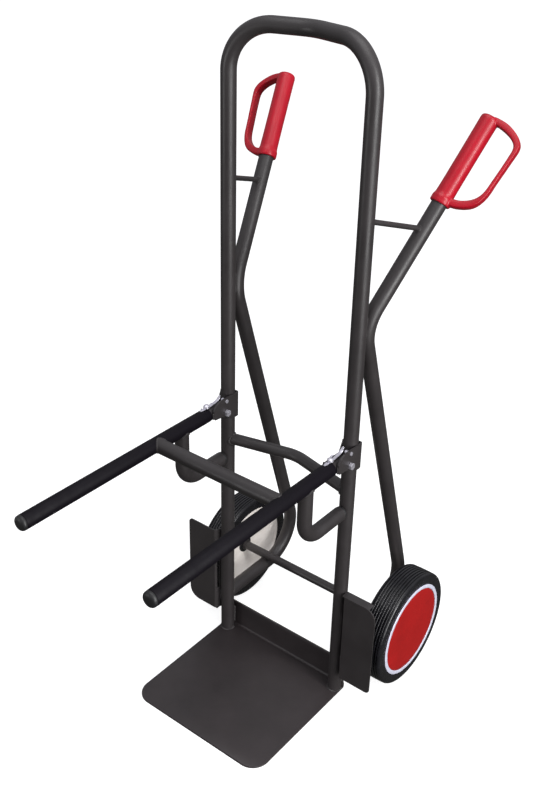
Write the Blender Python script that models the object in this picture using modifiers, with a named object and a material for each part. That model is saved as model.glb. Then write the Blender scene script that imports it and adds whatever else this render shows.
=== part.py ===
"""Chair hand truck: a welded tube frame on two ribbed wheels, with a pair of
fork tubes on a carriage that slides up and down the uprights.

Axes: +X to the right, +Y to the back, +Z up. The ground is z = 0 and the
origin lies midway between the uprights, on their centre plane.
"""

import math

import bmesh
import bpy
from mathutils import Matrix, Vector

# Clearances
GAP = 0.0003
RUN = 0.00005

# Main frame tubes
UPRIGHT_X = 0.153
TUBE_R = 0.0148
BEND_R = 0.084
TOP_Z = 1.362
TOP_BOW = 0.042
BRACE_R = 0.0122
BRACE_Z = 0.522
BRACE_BOW = 0.037

# Toe plate, bent up at the back
TOE_HALF_WIDTH = 0.169
TOE_FRONT_Y = -0.2925
TOE_THICKNESS = 0.004
TOE_CORNER_R = 0.038
UPSTAND_Y = 0.0185
UPSTAND_Z = 0.069

# Wheels and axle
WHEEL_R = 0.130
WHEEL_X = 0.2235
AXLE_Y = 0.1385
AXLE_R = 0.010
AXLE_HALF_LENGTH = 0.2475
TYRE_INNER_R = 0.104
TYRE_HALF_WIDTH = 0.029

# Stay tubes that end in the handles
STAY_FOOT_Z = WHEEL_R - AXLE_R - TUBE_R - GAP
STAY_BACK_Y = 0.264
STAY_KNEE = Vector((UPRIGHT_X, 0.0182, 0.867))
ARM_DIR = Vector((0.1749, 0.5778, 0.7973)).normalized()
GRIP_FOOT_Z = {"left": 1.077, "right": 1.071}
STRUT_R = 0.005
STRUT_Z = {"left": (1.085, 1.039), "right": (1.073, 1.030)}

# Guard plates in front of the wheels
GUARD_T = 0.0025
GUARD_BOTTOM = 0.058
GUARD_TOP = 0.2795
GUARD_OUTER_X = 0.251

# Fork carriage, measured from its height on the uprights
CARRIAGE_Z = 0.606
FORK_TIP_Y = -0.542
FORK_REAR_Y = -0.031
FORK_R = 0.014
SLEEVE_R = 0.0150
SLEEVE_REAR_Y = -0.066
CROSS_Y = -0.2125
PROP_Y = -0.141
PROP_Z = -0.126
PROP_R = 0.0146
PROP_BEND_R = 0.044
BRACKET_T = 0.003
BRACKET_IN = 0.0152
BOLT_Y = -0.0255
BOLT_Z = -0.0055
PIN_Z = 0.021

SIDES = {"left": -1, "right": 1}
COLORS = {
    "frame": ((0.045, 0.042, 0.042), 0.42, 0.3),
    "sleeve": ((0.028, 0.024, 0.033), 0.5, 0.0),
    "zinc": ((0.55, 0.53, 0.62), 0.28, 1.0),
    "grip": ((0.48, 0.008, 0.025), 0.3, 0.0),
    "cap": ((0.42, 0.014, 0.014), 0.35, 0.0),
    "tyre": ((0.012, 0.012, 0.015), 0.55, 0.0),
    "rim": ((0.52, 0.48, 0.44), 0.5, 0.0),
    "bush": ((0.01, 0.01, 0.01), 0.4, 0.0),
    "plug": ((0.02, 0.02, 0.022), 0.45, 0.0),
}


def clear_scene():
    for obj in list(bpy.data.objects):
        bpy.data.objects.remove(obj, do_unlink=True)
    for collection in list(bpy.data.collections):
        bpy.data.collections.remove(collection)


def new_collection(name):
    collection = bpy.data.collections.new(name)
    bpy.context.scene.collection.children.link(collection)
    return collection


def material_for(name, kind):
    color, roughness, metallic = COLORS[kind]
    material = bpy.data.materials.new(name)
    material.use_nodes = True
    shader = material.node_tree.nodes["Principled BSDF"]
    shader.inputs["Base Color"].default_value = (*color, 1.0)
    shader.inputs["Roughness"].default_value = roughness
    shader.inputs["Metallic"].default_value = metallic
    return material


def add_object(name, mesh, kind, parent=None, location=(0, 0, 0), rotation=(0, 0, 0)):
    """Put a mesh in the truck's collection with a material of its own."""
    obj = bpy.data.objects.new(name, mesh)
    PARTS.objects.link(obj)
    mesh.materials.append(material_for(name, kind))
    obj.location = location
    obj.rotation_euler = rotation
    obj.parent = parent
    return obj


def add_cutter(name, mesh, parent=None, location=(0, 0, 0), rotation=(0, 0, 0)):
    obj = bpy.data.objects.new(name, mesh)
    CUTTERS.objects.link(obj)
    obj.location = location
    obj.rotation_euler = rotation
    obj.parent = parent
    obj.hide_render = True
    obj.display_type = "WIRE"
    return obj


def add_empty(name, location):
    empty = bpy.data.objects.new(name, None)
    PARTS.objects.link(empty)
    empty.location = location
    return empty


def boolean(obj, tool, operation="DIFFERENCE"):
    modifier = obj.modifiers.new(tool.name, "BOOLEAN")
    modifier.object = tool
    modifier.operation = operation
    modifier.solver = "EXACT"


def shade(obj, angle=35):
    obj.data.shade_smooth()
    obj.data.set_sharp_from_angle(angle=math.radians(angle))


def rod_mesh(name, start, end, radius, sides=24):
    """A closed straight cylinder between two points."""
    start = Vector(start)
    axis = Vector(end) - start
    turn = axis.to_track_quat("Z", "Y").to_matrix().to_4x4()
    matrix = Matrix.Translation(start + axis / 2) @ turn
    bm = bmesh.new()
    bmesh.ops.create_cone(
        bm, cap_ends=True, segments=sides, radius1=radius, radius2=radius,
        depth=axis.length, matrix=matrix,
    )
    mesh = bpy.data.meshes.new(name)
    bm.to_mesh(mesh)
    bm.free()
    return mesh


def box_mesh(name, low, high):
    """A closed box between two corners."""
    low = Vector(low)
    high = Vector(high)
    size = Matrix.Diagonal((*(high - low), 1.0))
    bm = bmesh.new()
    bmesh.ops.create_cube(bm, size=1.0, matrix=Matrix.Translation((low + high) / 2) @ size)
    mesh = bpy.data.meshes.new(name)
    bm.to_mesh(mesh)
    bm.free()
    return mesh


def rounded_path(corners, radii, step=math.radians(12)):
    """Points of a polyline whose inner corners are filleted with arcs."""
    corners = [Vector(p) for p in corners]
    points = [corners[0]]
    for i, radius in enumerate(radii, start=1):
        into = (corners[i] - corners[i - 1]).normalized()
        out = (corners[i + 1] - corners[i]).normalized()
        turn = into.angle(out)
        normal = into.cross(out).normalized()
        inward = normal.cross(into)
        centre = corners[i] - into * radius * math.tan(turn / 2) + inward * radius
        count = max(3, math.ceil(turn / step))
        for k in range(count + 1):
            swing = Matrix.Rotation(turn * k / count, 3, normal)
            points.append(centre - swing @ inward * radius)
    points.append(corners[-1])
    return points


def mesh_of_curve(curve):
    """Turn a curve into a closed mesh with welded caps."""
    guide = bpy.data.objects.new(curve.name, curve)
    CUTTERS.objects.link(guide)
    bpy.context.view_layer.update()
    graph = bpy.context.evaluated_depsgraph_get()
    mesh = bpy.data.meshes.new_from_object(guide.evaluated_get(graph))
    bpy.data.objects.remove(guide)
    bm = bmesh.new()
    bm.from_mesh(mesh)
    bmesh.ops.remove_doubles(bm, verts=bm.verts, dist=1e-6)
    bmesh.ops.recalc_face_normals(bm, faces=bm.faces)
    bm.to_mesh(mesh)
    bm.free()
    mesh.materials.clear()
    return mesh


def tube_mesh(name, points, radius, sides=16):
    """A round bar that follows a path, from a curve with a bevel."""
    curve = bpy.data.curves.new(name, "CURVE")
    curve.dimensions = "3D"
    curve.bevel_depth = radius
    curve.bevel_resolution = (sides - 4) // 2
    curve.use_fill_caps = True
    spline = curve.splines.new("POLY")
    spline.points.add(len(points) - 1)
    for point, place in zip(spline.points, points):
        point.co = (*place, 1.0)
    return mesh_of_curve(curve)


def plate_mesh(name, outline, thickness, smooth=False):
    """A flat outline in XY given a thickness about z = 0."""
    curve = bpy.data.curves.new(name, "CURVE")
    curve.dimensions = "2D"
    curve.fill_mode = "BOTH"
    curve.extrude = thickness / 2
    if smooth:
        curve.resolution_u = 4
        spline = curve.splines.new("BEZIER")
        spline.bezier_points.add(len(outline) - 1)
        for point, (x, y) in zip(spline.bezier_points, outline):
            point.co = (x, y, 0)
            point.handle_left_type = "AUTO"
            point.handle_right_type = "AUTO"
    else:
        spline = curve.splines.new("POLY")
        spline.points.add(len(outline) - 1)
        for point, (x, y) in zip(spline.points, outline):
            point.co = (x, y, 0, 1)
    spline.use_cyclic_u = True
    return mesh_of_curve(curve)


def round_corners(outline, radii, count=5):
    """A closed 2D outline with some of its corners replaced by arcs."""
    result = []
    total = len(outline)
    for i, radius in enumerate(radii):
        corner = Vector(outline[i])
        before = (Vector(outline[i - 1]) - corner).normalized()
        after = (Vector(outline[(i + 1) % total]) - corner).normalized()
        if radius == 0:
            result.append(tuple(corner))
            continue
        half = before.angle(after) / 2
        centre = corner + (before + after).normalized() * radius / math.sin(half)
        start = corner + before * radius / math.tan(half) - centre
        sweep = start.angle_signed(corner + after * radius / math.tan(half) - centre)
        for k in range(count + 1):
            swing = Matrix.Rotation(-sweep * k / count, 2)
            result.append(tuple(centre + swing @ start))
    return result


def turned_mesh(name, profile, closed, steps=36):
    """Open mesh of a profile in the XZ plane, for a Screw modifier."""
    mesh = bpy.data.meshes.new(name)
    verts = [(radius, 0, height) for radius, height in profile]
    edges = [(i, i + 1) for i in range(len(verts) - 1)]
    if closed:
        edges.append((len(verts) - 1, 0))
    mesh.from_pydata(verts, edges, [])
    return mesh


def spin(obj, steps=36):
    """Turn a profile once about the object's own Z axis."""
    screw = obj.modifiers.new("turn", "SCREW")
    screw.axis = "Z"
    screw.angle = math.tau
    screw.steps = steps
    screw.render_steps = steps
    screw.use_merge_vertices = True
    screw.merge_threshold = 0.00001
    screw.use_smooth_shade = True


def turned(name, profile, kind, closed=True, steps=36, **place):
    obj = add_object(name, turned_mesh(name, profile, closed), kind, **place)
    spin(obj, steps)
    return obj


def upright_cutter(side):
    """The space an upright takes up, a gap wider than the tube."""
    x = SIDES[side] * UPRIGHT_X
    mesh = rod_mesh("upright_space_" + side, (x, 0, 0), (x, 0, TOP_Z), TUBE_R + GAP, 32)
    return add_cutter("upright_space_" + side, mesh)


def make_main_frame(spaces):
    """Two uprights, the bowed top bar bent from the same tube, and the cross brace."""
    bend_start = TOP_Z - BEND_R
    for side, sign in SIDES.items():
        x = sign * UPRIGHT_X
        foot = (x, 0, TOE_THICKNESS + GAP)
        mesh = rod_mesh("upright_" + side, foot, (x, 0, bend_start - GAP), TUBE_R, 24)
        shade(add_object("upright_" + side, mesh, "frame"))
    corners = [
        (-UPRIGHT_X, 0, bend_start),
        (-UPRIGHT_X, 0, TOP_Z),
        (0, TOP_BOW, TOP_Z),
        (UPRIGHT_X, 0, TOP_Z),
        (UPRIGHT_X, 0, bend_start),
    ]
    path = rounded_path(corners, [BEND_R - GAP] * 3)
    shade(add_object("top_bar", tube_mesh("top_bar", path, TUBE_R), "frame"))
    corners = [(-UPRIGHT_X, 0, BRACE_Z), (0, BRACE_BOW, BRACE_Z), (UPRIGHT_X, 0, BRACE_Z)]
    path = rounded_path(corners, [BEND_R])
    brace = add_object("cross_brace", tube_mesh("cross_brace", path, BRACE_R), "frame")
    for space in spaces.values():
        boolean(brace, space)
    shade(brace)


def make_toe_plate():
    """The toe plate with its back edge turned up behind the uprights."""
    half = TOE_HALF_WIDTH
    back = UPSTAND_Y + TOE_THICKNESS
    outline = [(-half, TOE_FRONT_Y), (half, TOE_FRONT_Y), (half, back), (-half, back)]
    outline = round_corners(outline, [TOE_CORNER_R, TOE_CORNER_R, 0.008, 0.008])
    mesh = plate_mesh("toe_plate", outline, TOE_THICKNESS)
    plate = add_object("toe_plate", mesh, "frame", location=(0, 0, TOE_THICKNESS / 2))
    wall_half = half - 0.006
    wall = [(-wall_half, -0.001), (wall_half, -0.001), (wall_half, 0.066), (-wall_half, 0.066)]
    wall = round_corners(wall, [0, 0, 0.012, 0.012])
    mesh = plate_mesh("toe_upstand", wall, TOE_THICKNESS)
    place = (0, UPSTAND_Y + TOE_THICKNESS / 2, UPSTAND_Z - 0.066)
    tool = add_cutter("toe_upstand", mesh, location=place, rotation=(math.pi / 2, 0, 0))
    boolean(plate, tool, "UNION")


def guard_outline():
    """Plan of the guard: flat in front of the wheel, bent back to the upright."""
    return [
        (0.1695, -0.0035),
        (0.1770, -0.0169),
        (GUARD_OUTER_X, -0.0169),
        (GUARD_OUTER_X, -0.0194),
        (0.1755, -0.0194),
        (0.1676, -0.0050),
    ]


def make_guard(side):
    """One pressed guard. The same pressing serves both sides, turned end for end."""
    middle = (GUARD_BOTTOM + GUARD_TOP) / 2
    half = (GUARD_TOP - GUARD_BOTTOM) / 2
    turn = 0 if side == "right" else math.pi
    name = "wheel_guard_" + side
    holder = add_empty(name + "_centre", (0, 0, middle))
    holder.rotation_euler = (0, turn, 0)
    guard = add_object(name, plate_mesh(name, guard_outline(), 2 * half), "frame", parent=holder)
    shelf = box_mesh(
        name + "_shelf", (0.1695, -0.0185, half - GUARD_T), (0.2350, 0.0, half)
    )
    boolean(guard, add_cutter(name + "_shelf", shelf, parent=holder), "UNION")
    frame = [(0.150, -half), (GUARD_OUTER_X, -half), (GUARD_OUTER_X, half), (0.150, half)]
    frame = round_corners(frame, [0, 0.010, 0.026, 0])
    mesh = plate_mesh(name + "_edge", frame, 0.08)
    edge = add_cutter(name + "_edge", mesh, parent=holder, rotation=(math.pi / 2, 0, 0))
    boolean(guard, edge, "INTERSECT")
    slot = box_mesh(name + "_slot", (-0.008, -0.0032, -0.024), (0.008, 0.0032, 0.056))
    tool = add_cutter(name + "_slot", slot, parent=holder, location=(0.1715, -0.0108, 0))
    tool.rotation_euler = (0, 0, math.radians(28))
    boolean(guard, tool)


def stay_path(side):
    """Centre line of one stay, from its foot on the upright to inside its grip."""
    sign = SIDES[side]
    arm_end = arm_point(1, GRIP_FOOT_Z[side]) + ARM_DIR * 0.160
    corners = [
        Vector((UPRIGHT_X, 0, STAY_FOOT_Z)),
        Vector((UPRIGHT_X, STAY_BACK_Y, STAY_FOOT_Z)),
        STAY_KNEE,
        arm_end,
    ]
    path = rounded_path(corners, [BEND_R, BEND_R])
    return [Vector((sign * p.x, p.y, p.z)) for p in path]


def make_stay(side, space):
    name = "stay_" + side
    stay = add_object(name, tube_mesh(name, stay_path(side), TUBE_R), "frame")
    boolean(stay, space)
    shade(stay)
    return stay


def arm_point(sign, height):
    point = STAY_KNEE + ARM_DIR * ((height - STAY_KNEE.z) / ARM_DIR.z)
    return Vector((sign * point.x, point.y, point.z))


def make_strut(side, space):
    """A short rod welded between the upright and the handle arm."""
    sign = SIDES[side]
    low_z, arm_z = STRUT_Z[side]
    name = "strut_" + side
    start = (sign * UPRIGHT_X, 0, low_z)
    end = arm_point(sign, arm_z)
    strut = add_object(name, rod_mesh(name, start, end, STRUT_R, 16), "frame")
    boolean(strut, space)
    ahead = arm_point(sign, arm_z + 0.06)
    behind = arm_point(sign, arm_z - 0.06)
    mesh = rod_mesh("arm_space_" + side, behind, ahead, TUBE_R + GAP, 32)
    boolean(strut, add_cutter("arm_space_" + side, mesh))
    shade(strut)


def guard_loop_outline():
    """Outline of the hand guard: along the grip, then away from it."""
    outer = [(2, 4), (6, 32), (20, 57), (45, 69), (80, 71.5), (120, 74), (146, 75)]
    outer += [(159, 68), (169, 53), (176, 34), (178, 14), (177, 4)]
    inner = [(166, 4), (165, 20), (161, 38), (154, 54), (142, 65), (120, 66)]
    inner += [(80, 64), (50, 61), (33, 51), (22, 34), (17, 18), (16, 4)]
    return [(along / 1000, away / 1000) for along, away in outer + inner]


def grip_profile():
    """Radius against length of the grip, closed at the top."""
    profile = [(0, 0.176), (0.0135, 0.176), (0.0165, 0.1745), (0.0176, 0.171), (0.0176, 0.016)]
    profile += [(0.0197, 0.012), (0.0197, 0.001), (0.0187, 0.0), (0, 0)]
    return profile


def grip_frame(side):
    """Matrix with Z along the handle arm and X pointing away from the frame."""
    sign = SIDES[side]
    along = Vector((sign * ARM_DIR.x, ARM_DIR.y, ARM_DIR.z))
    away = Vector((sign * 0.969, 0.041, -0.242))
    away = (away - along * away.dot(along)).normalized()
    flat = along.cross(away)
    rotation = Matrix((away, flat, along)).transposed()
    return Matrix.Translation(arm_point(sign, GRIP_FOOT_Z[side])) @ rotation.to_4x4()


def make_grip(side):
    """A moulded sleeve with a hand guard, one piece, bored for the arm."""
    name = "grip_" + side
    holder = add_empty(name + "_axis", (0, 0, 0))
    holder.matrix_world = grip_frame(side)
    grip = turned(name, grip_profile(), "grip", closed=False, steps=24, parent=holder)
    mesh = plate_mesh(name + "_loop", guard_loop_outline(), 0.018, smooth=True)
    loop = add_cutter(name + "_loop", mesh, parent=holder)
    loop.rotation_euler = Matrix(((0, 1, 0), (0, 0, 1), (1, 0, 0))).to_euler()
    boolean(grip, loop, "UNION")
    bore = rod_mesh(name + "_bore", (0, 0, -0.01), (0, 0, 0.165), TUBE_R + GAP, 24)
    boolean(grip, add_cutter(name + "_bore", bore, parent=holder))


def make_axle():
    """The axle rests on both stays; a collar and a clip hold each wheel on it."""
    ends = [(sign * AXLE_HALF_LENGTH, AXLE_Y, WHEEL_R) for sign in (-1, 1)]
    shade(add_object("axle", rod_mesh("axle", *ends, AXLE_R, 36), "frame"))
    for side, sign in SIDES.items():
        turn = (0, sign * math.pi / 2, 0)
        collar = [(0.0125, 0.005), (0.0125, 0.0), (AXLE_R + GAP, 0.0), (AXLE_R + GAP, 0.005)]
        turned(
            "axle_collar_" + side, collar, "frame", steps=24,
            location=(sign * 0.2085, AXLE_Y, WHEEL_R), rotation=turn,
        )
        clip = [(0.0145, 0.0015), (0.0145, 0.0), (AXLE_R + GAP, 0.0), (AXLE_R + GAP, 0.0015)]
        turned(
            "axle_clip_" + side, clip, "zinc", steps=24,
            location=(sign * 0.2442, AXLE_Y, WHEEL_R), rotation=turn,
        )


def tyre_profile():
    """Tyre section, with grooves round the tread."""
    half = TYRE_HALF_WIDTH
    profile = [(TYRE_INNER_R, half), (0.1245, half), (0.1285, half - 0.0025)]
    profile.append((WHEEL_R, half - 0.0065))
    for middle in (0.014, 0.0, -0.014):
        profile += [(WHEEL_R, middle + 0.0015), (WHEEL_R - 0.003, middle + 0.0009)]
        profile += [(WHEEL_R - 0.003, middle - 0.0009), (WHEEL_R, middle - 0.0015)]
    profile += [(WHEEL_R, 0.0065 - half), (0.1285, 0.0025 - half), (0.1245, -half)]
    profile.append((TYRE_INNER_R, -half))
    return profile


def make_wheel(side):
    """Tyre, dished rim, bush, hub cap and trim ring, all on the wheel's own axis."""
    sign = SIDES[side]
    hub = add_empty("wheel_axis_" + side, (sign * WHEEL_X, AXLE_Y, WHEEL_R))
    hub.rotation_euler = (0, sign * math.pi / 2, 0)
    rim_r = TYRE_INNER_R - GAP
    bush_r = 0.014
    turned("tyre_" + side, tyre_profile(), "tyre", parent=hub)
    rim = [
        (rim_r, 0.0255), (rim_r, -0.0260), (0.0960, -0.0260), (0.0900, -0.0235),
        (0.0300, -0.0060), (bush_r + GAP, -0.0060), (bush_r + GAP, 0.0175), (0.020, 0.0175),
        (0.020, -0.0020), (0.0290, -0.0020), (0.0890, -0.0195), (0.0950, -0.0220),
        (rim_r - 0.004, -0.0220), (rim_r - 0.004, 0.0255),
    ]
    turned("rim_" + side, rim, "rim", parent=hub)
    bush = [
        (bush_r, 0.0195), (bush_r, -0.0060 - GAP), (0.020, -0.0060 - GAP), (0.020, -0.0095),
        (AXLE_R + RUN, -0.0095), (AXLE_R + RUN, 0.0195),
    ]
    turned("bush_" + side, bush, "bush", parent=hub)
    cap = [
        (0, 0.0312), (0.060, 0.0310), (0.090, 0.0304), (0.0965, 0.0294), (0.0965, 0.0281),
        (0.1010, 0.0281), (0.1010, 0.0258), (0, 0.0258),
    ]
    turned("hub_cap_" + side, cap, "cap", closed=False, parent=hub)
    ring = [
        (0.1042, 0.0310), (0.1056, 0.0301), (0.1056, 0.0294), (0.0968, 0.0294),
        (0.0980, 0.0310),
    ]
    turned("trim_ring_" + side, ring, "zinc", parent=hub)


def bracket_outline():
    """Side view of the tall bracket cheek, y then z."""
    return [
        (0.0174, -0.029), (-0.002, -0.0275), (-0.022, -0.0180), (-0.037, -0.0110),
        (-0.060, -0.0090), (-0.064, -0.004), (-0.064, 0.012), (-0.057, 0.022),
        (-0.046, 0.028), (0.0174, 0.028),
    ]


def low_cheek_space():
    """Side view of what the inner, lower cheek is short of."""
    return [(-0.2, 0.004), (-0.013, 0.004), (-0.003, 0.025), (-0.003, 0.1), (-0.2, 0.1)]


def make_bracket(side, carriage):
    """A strap bent round the back of the upright, its cheeks holding the fork tube."""
    name = "bracket_" + side
    x = SIDES[side] * UPRIGHT_X
    outer = BRACKET_IN + BRACKET_T
    outline = round_corners(bracket_outline(), [0.005, 0, 0, 0, 0, 0, 0, 0, 0, 0.005], 3)
    mesh = plate_mesh(name, outline, 2 * outer)
    bracket = add_object(
        name, mesh, "frame", parent=carriage,
        location=(x, 0, 0), rotation=(math.pi / 2, 0, math.pi / 2),
    )
    half = FORK_R + GAP
    plan = [(-half, -0.2), (half, -0.2), (half, -0.0175), (BRACKET_IN, -0.0165)]
    plan += [(BRACKET_IN, BRACKET_IN), (-BRACKET_IN, BRACKET_IN), (-BRACKET_IN, -0.0165)]
    plan.append((-half, -0.0175))
    plan = round_corners(plan, [0, 0, 0, 0, 0.008, 0.008, 0, 0], 3)
    space = plate_mesh(name + "_inside", plan, 0.2)
    boolean(bracket, add_cutter(name + "_inside", space, parent=carriage, location=(x, 0, 0)))
    plan = [(-outer, -0.2), (outer, -0.2), (outer, outer), (-outer, outer)]
    skin = plate_mesh(name + "_outside", round_corners(plan, [0, 0, 0.0105, 0.0105], 3), 0.2)
    tool = add_cutter(name + "_outside", skin, parent=carriage, location=(x, 0, 0))
    boolean(bracket, tool, "INTERSECT")
    low = plate_mesh(name + "_low", low_cheek_space(), 0.04)
    tool = add_cutter(
        name + "_low", low, parent=carriage,
        location=(x - 0.02, 0, 0), rotation=(math.pi / 2, 0, math.pi / 2),
    )
    boolean(bracket, tool)
    for reach, z in ((0.03, BOLT_Z), (0.0, PIN_Z)):
        ends = [(x - reach, BOLT_Y, z), (x + 0.03, BOLT_Y, z)]
        hole = rod_mesh(name + "_hole", *ends, 0.004 + GAP, 16)
        boolean(bracket, add_cutter(name + "_hole", hole, parent=carriage))


def hex_mesh(name, centre, flats, height):
    """A hexagonal block on the X axis."""
    corner = flats / 2 / math.cos(math.pi / 6)
    outline = [
        (corner * math.cos(math.pi * k / 3), corner * math.sin(math.pi * k / 3))
        for k in range(6)
    ]
    mesh = plate_mesh(name, outline, height)
    mesh.transform(Matrix.Translation(centre) @ Matrix.Rotation(math.pi / 2, 4, "Y"))
    return mesh


def make_bolt(side, carriage):
    """A hexagon bolt through both cheeks in front of the upright, and its nut."""
    x = SIDES[side] * UPRIGHT_X
    outer = BRACKET_IN + BRACKET_T + GAP
    name = "bolt_" + side
    ends = [(x - outer - 0.009, BOLT_Y, BOLT_Z), (x + outer + 0.003, BOLT_Y, BOLT_Z)]
    bolt = add_object(name, rod_mesh(name, *ends, 0.004, 16), "zinc", parent=carriage)
    centre = Vector((x + outer + 0.003, BOLT_Y, BOLT_Z))
    head = hex_mesh(name + "_head", centre, 0.013, 0.006)
    boolean(bolt, add_cutter(name + "_head", head, parent=carriage), "UNION")
    name = "nut_" + side
    centre = Vector((x - outer - 0.0033, BOLT_Y, BOLT_Z))
    nut = add_object(name, hex_mesh(name, centre, 0.013, 0.0065), "zinc", parent=carriage)
    ends = [(x - 0.05, BOLT_Y, BOLT_Z), (x, BOLT_Y, BOLT_Z)]
    hole = rod_mesh(name + "_hole", *ends, 0.004 + GAP, 16)
    boolean(nut, add_cutter(name + "_hole", hole, parent=carriage))


def make_pin(side, carriage):
    """A stub pin in the tall cheek, above the bolt and beside the latch strip."""
    name = "pin_" + side
    x = SIDES[side] * UPRIGHT_X
    ends = [(x + 0.0060, BOLT_Y, PIN_Z), (x + BRACKET_IN + BRACKET_T + 0.0018, BOLT_Y, PIN_Z)]
    shade(add_object(name, rod_mesh(name, *ends, 0.004, 16), "frame", parent=carriage))


def offset_line(points, distance):
    """The same line moved sideways to its left."""
    points = [Vector(point) for point in points]
    moved = []
    for index, point in enumerate(points):
        before = points[max(index - 1, 0)]
        after = points[min(index + 1, len(points) - 1)]
        along = (after - before).normalized()
        moved.append(tuple(point + Vector((-along.y, along.x)) * distance))
    return moved


def make_latch(side, carriage):
    """A sprung strip riveted on the fork tube that bears on the upright."""
    x = SIDES[side] * UPRIGHT_X
    name = "latch_" + side
    lower = [(-0.088, 0.0158), (-0.060, 0.0158), (-0.044, 0.0170), (-0.034, 0.0194)]
    lower += [(-0.0275, 0.0240), (-0.0235, 0.0300)]
    mesh = plate_mesh(name, lower + offset_line(lower, 0.0016)[::-1], 0.010)
    strip = add_object(
        name, mesh, "zinc", parent=carriage,
        location=(x, 0, 0), rotation=(math.pi / 2, 0, math.pi / 2),
    )
    hole = rod_mesh(name + "_hole", (x, -0.067, 0.0), (x, -0.067, 0.05), 0.0030 + GAP, 12)
    boolean(strip, add_cutter(name + "_hole", hole, parent=carriage))
    rivet = [(0, 0.0250), (0.0035, 0.0244), (0.0062, 0.0220), (0.0066, 0.0180)]
    rivet += [(0.0030, 0.0180), (0.0030, 0.0155), (0, 0.0155)]
    turned(
        "rivet_" + side, rivet, "zinc", closed=False, steps=20,
        parent=carriage, location=(x, -0.067, 0),
    )


def make_fork(side, carriage):
    """Fork tube with its plastic sleeve and end plug."""
    x = SIDES[side] * UPRIGHT_X
    name = "fork_" + side
    mesh = rod_mesh(name, (x, FORK_REAR_Y, 0), (x, FORK_TIP_Y, 0), FORK_R, 24)
    shade(add_object(name, mesh, "frame", parent=carriage))
    name = "fork_sleeve_" + side
    mesh = rod_mesh(name, (x, SLEEVE_REAR_Y, 0), (x, FORK_TIP_Y, 0), SLEEVE_R, 24)
    sleeve = add_object(name, mesh, "sleeve", parent=carriage)
    ends = [(x, 0.01, 0), (x, FORK_TIP_Y - 0.01, 0)]
    core = rod_mesh(name + "_core", *ends, FORK_R + GAP, 24)
    boolean(sleeve, add_cutter(name + "_core", core, parent=carriage))
    inward = -SIDES[side]
    ends = [(x + 0.002 * inward, CROSS_Y, 0), (x + 0.03 * inward, CROSS_Y, 0)]
    cross = rod_mesh(name + "_cross", *ends, TUBE_R + 4 * GAP, 28)
    boolean(sleeve, add_cutter(name + "_cross", cross, parent=carriage))
    ends = [(x, PROP_Y, 0), (x, PROP_Y, -0.03)]
    prop = rod_mesh(name + "_prop", *ends, PROP_R + 3 * GAP, 20)
    boolean(sleeve, add_cutter(name + "_prop", prop, parent=carriage))
    shade(sleeve)
    name = "fork_plug_" + side
    plug = [(0, 0.0095), (0.0115, 0.0085), (0.0145, 0.0060), (SLEEVE_R, 0.0030)]
    plug += [(SLEEVE_R, GAP), (0, GAP)]
    turned(
        name, plug, "plug", closed=False, steps=24, parent=carriage,
        location=(x, FORK_TIP_Y, 0), rotation=(math.pi / 2, 0, 0),
    )


def make_cross_tube(carriage):
    reach = UPRIGHT_X - 0.004
    ends = [(-reach, CROSS_Y, 0), (reach, CROSS_Y, 0)]
    cross = add_object("fork_cross_tube", rod_mesh("fork_cross_tube", *ends, TUBE_R), "frame",
                       parent=carriage)
    for side, sign in SIDES.items():
        x = sign * UPRIGHT_X
        mesh = rod_mesh("fork_space_" + side, (x, 0, 0), (x, FORK_TIP_Y, 0), FORK_R + GAP, 32)
        boolean(cross, add_cutter("fork_space_" + side, mesh, parent=carriage))
    shade(cross)


def make_prop(side, carriage):
    """Bent tube under the fork, its plugged end bearing on the upright."""
    x = SIDES[side] * UPRIGHT_X
    name = "prop_" + side
    end_y = -TUBE_R - 0.0085
    corners = [(x, PROP_Y, -0.002), (x, PROP_Y, PROP_Z), (x, end_y, PROP_Z)]
    mesh = tube_mesh(name, rounded_path(corners, [PROP_BEND_R]), PROP_R)
    prop = add_object(name, mesh, "frame", parent=carriage)
    space = rod_mesh(name + "_top", (x, 0, 0), (x, FORK_TIP_Y, 0), FORK_R + GAP, 32)
    boolean(prop, add_cutter(name + "_top", space, parent=carriage))
    shade(prop)
    name = "prop_plug_" + side
    plug = [(0, 0.0078), (0.0105, 0.0078), (0.0138, 0.0050), (0.0142, GAP), (0, GAP)]
    turned(
        name, plug, "plug", closed=False, steps=24, parent=carriage,
        location=(x, end_y, PROP_Z), rotation=(-math.pi / 2, 0, 0),
    )


def main():
    spaces = {side: upright_cutter(side) for side in SIDES}
    make_main_frame(spaces)
    make_toe_plate()
    make_axle()
    for side, space in spaces.items():
        make_guard(side)
        make_stay(side, space)
        make_strut(side, space)
        make_grip(side)
        make_wheel(side)
    carriage = add_empty("carriage", (0, 0, CARRIAGE_Z))
    make_cross_tube(carriage)
    for side in SIDES:
        make_fork(side, carriage)
        make_prop(side, carriage)
        make_bracket(side, carriage)
        make_bolt(side, carriage)
        make_pin(side, carriage)
        make_latch(side, carriage)


clear_scene()
PARTS = new_collection("hand_truck")
CUTTERS = new_collection("cutters")
main()
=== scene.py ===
"""Looks of the hand truck: smooth tubes, welds, wheels, grips, materials,
light, floor and camera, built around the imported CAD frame.
"""

import math

import bmesh
import bpy
import numpy as np
from mathutils import Matrix, Vector


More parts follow.
